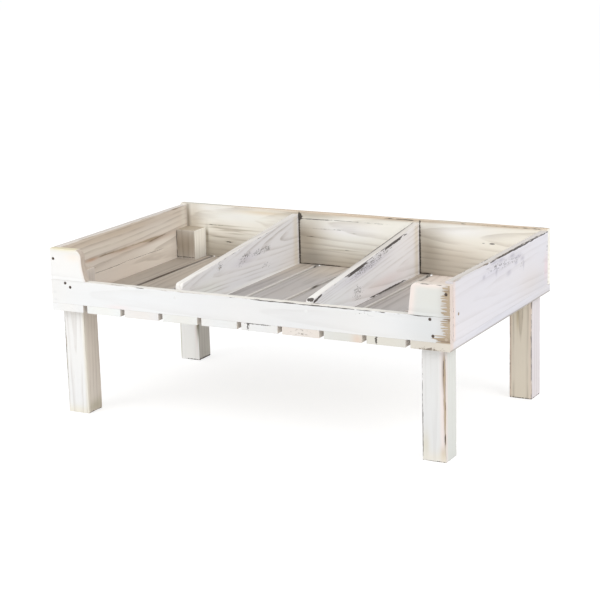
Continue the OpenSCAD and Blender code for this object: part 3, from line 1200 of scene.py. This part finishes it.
@dataclass
class BackBoard:
    """The board along the back, which stands a little above the sides."""

    inner: Colour = (251, 249, 240)
    outer: Colour = (238, 237, 236)

    def boards(self) -> list[Board]:
        """The back board.

        Returns:
            A list of the one board.
        """
        return [Board(
            "back_board", "whitewashed_board", ALONG_FRONT, self.inner,
            tones={UNDER: self.outer, HIGH: (212, 193, 170)},
            grain={OVER: 1.4}, edges={HIGH: 0.4},
            bare={HIGH: 0.06, OVER: 0.02}, seed=23, sawing=Sawing(0.03, -0.04, 0.05),
            marks=wear_on(
                GRIMY, OVER, (774, 79, 6, 1.1, 1.5), (756, 79, 5, 0.9, 1.3), (345, 104, 38, 0.9, 0.95),
                (425, 105, 45, 0.7, 0.8), (495, 104.5, 30, 0.6, 0.7), (314, 108, 4.5, 7, 1.4),
                # Painted shadow: the rows at 311.2 and 607.2 mm darken the gaps behind the dividers, and
                # the row at 620 mm the corner at the foot of the right divider.
                (311.2, 50, 1.7, 80, 1.3), (607.2, 50, 1.7, 80, 1.3), (620, 1.2, 12, 2.4, 1.5),
                (365, 0.8, 50, 1.8, 1.1), (385, 83.5, 60, 0.8, 0.45), (337, 64, 18, 0.9, 0.5),
                (415, 39, 34, 1.0, 0.45), (92, 73.5, 20, 0.9, 0.8), (126, 36, 9, 1.4, 0.8),
                (560, 118.6, 60, 1.4, 0.7), (800, 118.6, 110, 1.2, 0.6),
                HIGH, (880, 2, 22, 3, 0.9), (330, 0.8, 330, 1.4, 0.55),
                FIGURED, OVER, (120, 60, 90, 22, 1.7),
                RUBBED, HIGH, (560, 5, 300, 5, 0.3)),
            tints=paint_on(
                OVER, (150, 94, 130, 18, (255, 255, 250), 1.0), (110, 60, 60, 16, (255, 252, 244), 0.6),
                *dabs((178, 170, 150), 0.7, (112, 73.5, 60, 1.2), (92, 67, 20, 1.5), (120, 62, 22, 1.5),
                      (146, 56, 24, 1.5), (128, 37, 14, 1.8), (104, 46, 34, 1.3), (150, 42, 30, 1.3),
                      (170, 66, 40, 1.2), (385, 83, 70, 1.3), (345, 63, 30, 1.4), (415, 38, 44, 1.5)),
                (100, 113, 80, 7, (255, 255, 252), 0.9), (222, 110, 66, 4.5, (232, 216, 190), 0.75),
                (355, 113, 70, 6, (205, 199, 183), 0.9), (480, 118.5, 260, 4.0, (212, 192, 168), 0.95),
                (740, 119, 200, 3.5, (206, 184, 156), 0.95), (690, 38, 70, 32, (206, 196, 180), 0.75),
                (430, 86, 70, 16, (255, 255, 255), 1.0), (700, 102, 80, 12, (255, 255, 252), 1.0),
                # Painted shade in the rows down to the top face's: darker in the corner by the left side
                # board (20 and 36 mm), a shadow line right of the back left post (69 mm), darker right of
                # each divider (330, 340 and 628 mm) and darker along the bottom (105 and 450 mm).
                (36, 70, 20, 80, (222, 214, 200), 0.7), (20, 80, 5, 70, (158, 146, 130), 0.9),
                (69, 20, 3.2, 30, (116, 108, 90), 0.9), (69, 50, 3.2, 15, (116, 108, 90), 0.8),
                (628, 40, 40, 70, (182, 174, 160), 0.95), (330, 60, 50, 60, (192, 182, 166), 0.95),
                (450, 0, 600, 40, (184, 175, 160), 0.95), (105, 6, 100, 40, (188, 179, 164), 0.85),
                (340, 16, 40, 16, (172, 165, 154), 0.8),
                HIGH, (330, 0.6, 420, 2.0, (160, 152, 130), 0.8), (370, 3, 120, 6, (196, 178, 156), 0.9),
                (690, 7, 60, 20, (204, 196, 178), 0.8), (70, 7, 90, 20, (204, 205, 196), 0.95)))]


@dataclass
class Dividers:
    """The two boards that slope down from the back board to the rail."""

    tone: Colour = (236, 234, 234)
    top: Colour = (224, 219, 213)
    back_height: float = 114 * MM
    nose_heights: tuple[float, float] = (62 * MM, 56 * MM)
    nose_radius: float = 7 * MM
    still_below: float = 18 * MM
    rigid_top: float = 7 * MM

    def slope(self, nose: float, half: Array) -> Warp:
        """Lowers the top edge in a straight line from the back to a round nose.

        Args:
            nose: Height of the divider at the rail.
            half: Half sizes of the divider's box.

        Returns:
            The function that moves the points.
        """
        def warp(points: Array) -> Array:
            """Lowers each point by what its place loses, more so towards the top.

            Args:
                points: The worn points.

            Returns:
                The moved points.
            """
            run = np.clip((points[:, 0] + half[0]) / (2 * half[0]), 0.0, 1.0)
            drop = (self.back_height - nose) * (1.0 - run)
            drop = drop + corner_loss(points[:, 0] + half[0], self.nose_radius)
            span = 2 * half[1] - self.still_below - self.rigid_top
            weight = np.clip((points[:, 1] + half[1] - self.still_below) / span, 0.0, 1.0)
            moved = points.copy()
            moved[:, 1] -= drop * weight
            return moved
        return warp

    def boards(self) -> list[Board]:
        """The left and the right divider.

        Returns:
            The left and the right one.
        """
        # Painted shadow in the gap against the back board: a dark line along the back end of the right
        # face, and dark on the back end face.
        back_gap_shadows = wear_on(GRIMY, OVER, (503.4, 56, 1.5, 80, 1.3), END, (50, 15, 200, 3, 1.5))
        shared_tints = paint_on(
            OVER, (488, 60, 10, 200, (232, 224, 211), 0.9),
            START, (30, 8, 80, 20, (248, 246, 242), 0.9),
            HIGH, (10, 8, 120, 20, (248, 246, 242), 0.8))
        left = Board(
            "divider_left", "whitewashed_divider", ALONG_SIDE, self.tone,
            tones={HIGH: self.top}, edges={HIGH: 0.3, LOW: 0.0, START: 0.2},
            tight={LOW: WHOLE},
            bare_all=0.04, seed=31, sawing=Sawing(0.02, -0.03, 0.09),
            marks=back_gap_shadows + wear_on(
                SCRATCHED, OVER, (352, 73, 22, 9, 1.1), (312, 77, 20, 9, 1.1), (262, 86, 24, 10, 1.1),
                (238, 68, 22, 8, 0.8), (345, 30, 26, 10, 0.7), (150, 98, 16, 14, 1.0),
                RUBBED, OVER, (150, 96, 12, 9, 0.4),
                FIGURED, OVER, (410, 92, 120, 20, 1.7), (150, 24, 120, 14, 1.0),
                GRIMY, OVER, (500, 108, 5, 6, 0.3), (260, 112.8, 240, 0.9, 0.42),
                HIGH, (300, 0.5, 200, 1.0, 0.5)),
            tints=shared_tints + paint_on(
                OVER, (290, 0, 190, 6.0, (255, 254, 250), 1.0), (90, 0, 40, 6.0, (250, 236, 228), 1.0),
                (262, 74, 60, 16, (216, 212, 220), 0.6), (90, 30, 70, 40, (234, 236, 228), 0.6)))
        right = Board(
            "divider_right", "whitewashed_divider", ALONG_SIDE, (241, 240, 242),
            tones={HIGH: self.top}, edges={HIGH: 0.3, LOW: 0.2, START: 0.2},
            tight={LOW: WHOLE},
            bare_all=0.04, seed=37, sawing=Sawing(-0.02, -0.03, 0.05),
            marks=back_gap_shadows + wear_on(
                GRIMY, OVER, (196, 109, 46, 3.6, 1.4), (374, 110, 50, 2.8, 1.2),
                (280, 112.8, 230, 1.0, 0.6), (30, 111, 8, 2.4, 1.3), (345, 2, 90, 2.4, 1.15),
                (10, 107, 12, 4, 1.2),
                HIGH, (370, 1.2, 130, 1.7, 1.1), (3.5, 10, 4.5, 6.5, 1.5),
                SCRATCHED, OVER, (230, 96, 80, 14, 0.8), (330, 104, 70, 8, 0.75), (196, 34, 30, 30, 0.8)),
            tints=shared_tints + paint_on(
                OVER, (330, 22, 90, 16, (232, 219, 217), 0.7), (230, 94, 90, 14, (214, 210, 222), 0.6),
                HIGH, (370, 0.8, 170, 3.3, (112, 106, 98), 0.95),
                OVER, (80, 40, 80, 50, (240, 243, 244), 0.7)))
        for board, nose in zip((left, right), self.nose_heights):
            board.warp = self.slope(nose, board.half)
        return [left, right]


@dataclass
class SlatFloor:
    """The slats that run from front to back, cut out round the legs at both ends."""

    count: int = 10
    tops: tuple[Colour, Colour] = ((186, 176, 164), (184, 179, 176))
    gap: Colour = (176, 168, 160)
    # Painted highlight for the lit top strip of a slat's side, seen in the gaps
    gap_painted_highlight: Colour = (250, 247, 243)
    gap_dark: Colour = (120, 108, 97)
    nail_shade: Colour = (84, 76, 68)
    outer: Colour = (225, 223, 228)
    fronts: Sequence[Colour] = (
        (239, 239, 238), (237, 238, 235), (237, 234, 231), (235, 235, 231), (234, 234, 232),
        (233, 233, 232), (232, 224, 216), (223, 223, 218), (222, 219, 210), (219, 212, 200))
    play: float = 0.5 * MM

    def cut_outs(self, node: str, legs: Sequence[str]) -> list[tuple[float, float, float, float]]:
        """The square openings that the legs pass through, in the slat's own axes.

        Args:
            node: The slat's node.
            legs: The nodes of the two legs that pass through it.

        Returns:
            For each leg, its range along the slat and across it.
        """
        low, high = (np.array(corner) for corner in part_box(node))
        middle = (low + high) / 2.0
        openings = []
        for leg in legs:
            leg_low, leg_high = (np.array(corner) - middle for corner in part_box(leg))
            openings.append((leg_low[1] - self.play, leg_high[1] + self.play,
                             -leg_high[0] - self.play, -leg_low[0] + self.play))
        return openings

    def front_marks(self, number: int) -> list[Mark]:
        """Worn spots on the end of a slat that shows under the rail.

        Args:
            number: The slat's number from the left.

        Returns:
            Its marks.
        """
        grime_shade = {6: ((40, 15.2, 36, 1.4, 0.8), (67, 9, 1.6, 9, 1.0), (18, 10, 1.6, 8, 1.0)),
                 9: ((62, 8, 1.6, 10, 1.2),)}
        rubbed = {7: ((40, 8, 30, 8, 0.3),), 10: ((40, 1, 40, 5, 0.5),)}
        return wear_on(START, GRIMY, *grime_shade.get(number, ()), RUBBED, *rubbed.get(number, ()))

    def boards(self) -> list[Board]:
        """All slats, from the left.

        Returns:
            The slats.
        """
        made = []
        through = {1: "left", self.count: "right"}
        for number, front in enumerate(self.fronts, start=1):
            node = f"floor_slat_{number}"
            side = through.get(number)
            legs = [f"leg_front_{side}", f"leg_back_{side}"] if side else []
            right = self.outer if number == self.count else self.gap
            tones = {LOW: right, HIGH: self.outer if number == 1 else self.gap,
                     START: front, UNDER: (205, 198, 188)}
            joints = {START: [(-9, 9)]}
            # Painted light: the tops of slats 4 to 10 are lighter towards the back end, slats 8 to 10
            # most, to lift the shade that falls there.
            back = (250, 238, 228) if number > 7 else (204, 194, 182)
            tints = paint_on(OVER, (500, 40, 100, 80, back, 0.95)) if number > 3 else []
            # Painted light: each slat's right side is near white at its front end, to lift the shade in
            # the notch under the rail.
            if number < self.count:
                tints += paint_on(LOW, (0, 8, 20, 20, (240, 232, 222), 1.0))
            if number == self.count:
                joints[LOW] = WHOLE
                tints += paint_on(
                    LOW, (6, 8, 11, 40, (226, 212, 204), 1.0), (267, 0.6, 600, 2.2, (152, 144, 132), 0.85))
            elif number == 1:
                joints[HIGH] = WHOLE
                tints += paint_on(LOW, (310, 12, 120, 40, self.gap_dark, 1.0))
            else:
                # Painted highlight: the top strip of each slat's right side, seen through the gap, and a
                # lighter arris on the top face beside the gap, partly worn paint and partly painted
                # highlight.
                tints += paint_on(
                    LOW, (267, 16, 600, 4.2, self.gap_painted_highlight, 0.95), (515, 13, 6, 9, self.nail_shade, 0.95),
                    OVER, (267, 0.2, 600, 1.6, (222, 217, 211), 0.8))
            if number == 5:
                tints += paint_on(LOW, (337, 14, 18, 6, self.nail_shade, 0.9))
            if number == 8:
                tints += paint_on(START, (9, 6, 12, 12, (226, 207, 192), 0.9))
            if number == 2:
                tints += paint_on(
                    OVER, (267, 80.8, 600, 2.2, (224, 214, 204), 0.8),
                    (230, 40, 90, 60, (172, 162, 151), 0.7), (70, 40, 90, 80, (186, 184, 176), 0.8))
            made.append(Board(
                node, "floor_slat", FLAT_SLAT, self.tops[number > 3], tones=tones, bare_all=0.08,
                grain={START: 0.1, OVER: 1.2, LOW: 0.3}, arris=0.9 * MM,
                edges={START: 0.1}, arris_rub=0.02, seed=40 + number, sway=0.0,
                marks=self.front_marks(number), tints=tints, tight=joints,
                openings=self.cut_outs(node, legs),
                sawing=Sawing(pith_across=0.012 * math.sin(number * 2.3), shift=number * 0.9)))
        return made


@dataclass
class Legs:
    """The four square legs."""

    white: Colour = (239, 238, 236)

    def boards(self) -> list[Board]:
        """The legs, each with the colours of its own faces.

        Returns:
            The left legs and the right ones, the front one first.
        """
        front_left = Board(
            "leg_front_left", "whitewashed_leg", UPRIGHT, self.white,
            tones={HIGH: (229, 219, 207), END: (205, 192, 178)},
            edges={LOW: 0.6, START: 0.15, HIGH: 0.15},
            grain={UNDER: 1.1, HIGH: 1.2},
            bare_all=0.03, seed=60,
            marks=wear_on(
                RUBBED, UNDER, (150, 3, 200, 3, 0.3), (80, 24, 70, 12, 0.22),
                HIGH, (3, 25, 8, 60, 0.15),
                GRIMY, UNDER, (140, 0.8, 80, 1.6, 0.8),
                HIGH, (1, 25, 1.8, 60, 0.8)),
            tints=paint_on(
                HIGH, (290, 25, 30, 80, (206, 196, 188), 1.0),
                UNDER, (130, 0.6, 120, 1.8, (178, 176, 160), 0.8),
                HIGH, (12, 30, 14, 40, (190, 182, 158), 0.7), (120, 0, 400, 5, (240, 234, 220), 0.9),
                UNDER, (120, 49, 400, 4, (238, 233, 220), 0.8), (3, 25, 12, 60, (236, 230, 214), 0.8)))
        # Painted light: this leg's white is brighter than the other legs' to lift the crate's shadow on
        # its front.
        back_left = Board(
            "leg_back_left", "whitewashed_leg", UPRIGHT, (255, 255, 253),
            tones={HIGH: (214, 210, 202), END: (188, 177, 160)},
            grain={UNDER: 0.3}, bare_all=0.0, arris_rub=0.15, seed=61,
            marks=wear_on(
                GRIMY, UNDER, (86, 49.4, 22, 1.2, 0.7), (244, 25, 1.2, 60, 0.7), (1, 34, 1.8, 24, 0.8),
                (274, 0.8, 50, 1.6, 0.8),
                HIGH, (1.5, 25, 2.2, 60, 1.0),
                FIGURED, UNDER, (274, 25, 40, 60, 2.0)),
            tints=paint_on(
                UNDER, (274, 25, 60, 400, (184, 173, 158), 1.0), (50, 0.8, 60, 2.2, (190, 188, 166), 0.9),
                HIGH, (292, 25, 50, 400, (255, 251, 241), 1.0),
                UNDER, (120, 44, 90, 4, (250, 236, 230), 0.9), (90, 48.6, 32, 4.4, (112, 106, 76), 1.0),
                HIGH, (90, 0, 32, 3.0, (112, 106, 76), 0.9)))
        front_right = Board(
            "leg_front_right", "whitewashed_leg", UPRIGHT, (228, 228, 227),
            tones={HIGH: (222, 223, 218)}, grain={UNDER: 0.4, HIGH: 0.4},
            bare_all=0.03, seed=62,
            marks=wear_on(
                RUBBED, UNDER, (130, 47, 150, 4, 0.5),
                GRIMY, UNDER, (188, 45.2, 22, 1.0, 0.85), (48, 47.8, 10, 1.2, 0.8),
                (58, 0.8, 56, 1.7, 1.15), (165, 0.8, 60, 1.2, 0.55), (1, 25, 1.6, 60, 0.6),
                (120, 49, 90, 1.0, 0.4)),
            tints=paint_on(
                UNDER, (100, 43, 200, 5, (242, 228, 224), 0.8), (180, 46.6, 34, 4.2, (134, 116, 96), 1.0),
                (104, 48, 80, 2.6, (158, 138, 118), 0.95), (14, 44, 16, 7, (208, 192, 168), 0.85),
                (32, 7, 26, 7, (222, 216, 198), 0.8),
                HIGH, (100, 3, 200, 4, (242, 228, 224), 0.8),
                UNDER, (6, 25, 14, 60, (234, 228, 214), 0.6)))
        back_right = Board(
            "leg_back_right", "whitewashed_leg", UPRIGHT, (236, 227, 211),
            tones={HIGH: (232, 226, 228)}, grain={UNDER: 1.8}, bare_all=0.08, seed=63,
            marks=wear_on(
                RUBBED, UNDER, (120, 25, 120, 14, 0.25),
                GRIMY, UNDER, (110, 49.4, 140, 1.3, 0.85), (100, 0.8, 120, 1.2, 0.6),
                (1, 25, 1.6, 60, 0.8),
                HIGH, (1, 25, 1.6, 60, 0.6)),
            tints=paint_on(
                UNDER, (150, 1, 300, 3, (196, 168, 150), 0.85), (178, 18, 26, 3, (204, 190, 158), 0.8),
                (150, 47, 300, 3, (238, 220, 206), 0.7)))
        return [front_left, back_left, front_right, back_right]


@dataclass
class Studio:
    """The pale floor, the soft lights and the camera at the photograph's angle."""

    image: int = 600
    focal_px: float = 1801.69
    place: tuple[float, float, float] = (1.7315, -3.2497, 1.1118)
    yaw: float = -0.4912
    pitch: float = 0.2364
    roll: float = -0.0273
    sensor: float = 36.0
    look_height: float = 0.25
    sky: float = 0.69
    floor_reach: float = 40.0
    floor_glow: float = 0.66
    floor_seen: float = 0.5
    floor_lit: float = 0.85
    lamps: Sequence[tuple[str, tuple[float, float, float], float, float]] = (
        ("key", (-2.0, -3.2, 3.2), 2.4, 58.0), ("fill", (3.6, -1.0, 2.8), 2.6, 68.0),
        ("low", (-0.8, -4.2, 0.6), 2.0, 18.0))

    def camera(self) -> None:
        """Stands the camera where it was when the photograph was taken."""
        data = bpy.data.cameras.new("camera")
        data.sensor_fit = "HORIZONTAL"
        data.sensor_width = self.sensor
        data.lens = self.focal_px / self.image * self.sensor
        ahead = Vector((math.sin(self.yaw) * math.cos(self.pitch),
                        math.cos(self.yaw) * math.cos(self.pitch), -math.sin(self.pitch)))
        right = Vector((math.cos(self.yaw), -math.sin(self.yaw), 0.0))
        up = right.cross(ahead)
        turned_right = math.cos(self.roll) * right + math.sin(self.roll) * up
        turned_up = math.cos(self.roll) * up - math.sin(self.roll) * right
        camera = shown("camera", data)
        turn = Matrix((turned_right, turned_up, -ahead)).transposed().to_4x4()
        camera.matrix_world = Matrix.Translation(self.place) @ turn
        bpy.context.scene.camera = camera

    def lamp(self, name: str, place: Sequence[float], size: float, watts: float) -> None:
        """Hangs a square soft light that faces the crate.

        Args:
            name: The lamp's name.
            place: Its middle.
            size: Its side.
            watts: Its power.
        """
        data = bpy.data.lights.new(name, "AREA")
        data.size = size
        data.energy = watts
        away = Vector(place) - Vector((0.0, 0.0, self.look_height))
        turn = away.to_track_quat("Z", "Y").to_matrix().to_4x4()
        shown(name, data).matrix_world = Matrix.Translation(place) @ turn

    def world(self) -> None:
        """Even pale light from all round, which camera and mirror rays see as white."""
        world = bpy.data.worlds.new("studio")
        bpy.context.scene.world = world
        world.use_nodes = True
        g = Graph(world.node_tree)
        background = world.node_tree.nodes["Background"].inputs
        background["Color"].default_value = (1.0, 1.0, 1.0, 1.0)
        g.feed(background["Strength"], g.add(self.sky, g.times(g.seen(), 1.0 - self.sky)))

    def floor(self) -> None:
        """A wide pale floor that shows as white and keeps the crate's soft shadow."""
        far = self.floor_reach
        mesh = bpy.data.meshes.new("floor")
        corners = [(-far, -far, 0), (far, -far, 0), (far, far, 0), (-far, far, 0)]
        mesh.from_pydata(corners, [], [(0, 1, 2, 3)])
        made, g, shader = new_material("floor")
        shader["Roughness"].default_value = 1.0
        shader["Specular IOR Level"].default_value = 0.0
        shader["Emission Color"].default_value = (1.0, 1.0, 1.0, 1.0)
        seen = g.seen()
        lit, dim = ((grey, grey, grey, 1.0) for grey in (self.floor_lit, self.floor_seen))
        g.feed(shader["Emission Strength"], g.times(seen, self.floor_glow))
        g.feed(shader["Base Color"], g.mix(seen, lit, dim))
        mesh.materials.append(made)
        floor = shown("floor", mesh)

    def build(self) -> None:
        """Sets up the camera, the floor and the lights."""
        bpy.context.scene.view_settings.view_transform = "Standard"
        self.camera()
        self.floor()
        self.world()
        for lamp in self.lamps:
            self.lamp(*lamp)


def dress_nails() -> None:
    """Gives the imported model's own nails their finish: bare heads show only where they do."""
    front = -0.267
    heads = NailFinish(
        "nail",
        bare=[(x, front, z) for x, z in ((-0.442, 0.334), (0.442, 0.334), (-0.415, 0.284),
                                         (-0.403, 0.276), (0.409, 0.284), (0.415, 0.252))],
        rubbed=[(0.442, front, 0.248), (0.442, front, 0.263)], wash=(233, 233, 232)).build()
    faint = NailFinish("nail_faint", bare=[(0.450, -0.226, 0.289)], steel=(168, 152, 132),
                       rust=(146, 128, 108), wash=(226, 224, 228)).build()
    painted = NailFinish("nail_painted").build()
    lilac = NailFinish("nail_lilac", wash=(226, 224, 228)).build()
    finishes = {"nails_front": heads, "nails_side_right": faint, "nails_side_left": lilac}
    for name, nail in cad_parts.items():
        if name.startswith("nails_"):
            for slot in nail.material_slots:
                slot.material = finishes.get(name, painted)
            LOG.info("%s: dressed", name)


def main() -> None:
    """Builds the studio and dresses each part of the crate in turn."""
    logging.basicConfig(level=logging.INFO, format="%(name)s: %(message)s")
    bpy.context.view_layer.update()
    Studio().build()
    groups = WoodGroups()
    finishes = {
        finish.slot: finish.build(groups)
        for finish in (
            WashFinish("whitewashed_board"),
            WashFinish("whitewashed_divider", show_rings=0.3),
            WashFinish("whitewashed_leg"),
            WashFinish("floor_slat", wood_light=(160, 148, 134), wood_dark=(112, 102, 92),
                       show_rings=0.35, streaks=0.12))}
    for part in (FrontBoards(), SideBoards(), BackBoard(), Dividers(), SlatFloor(), Legs()):
        for board in part.boards():
            board.build(finishes[board.finish])
    dress_nails()


if __name__ == "__main__":
    main()
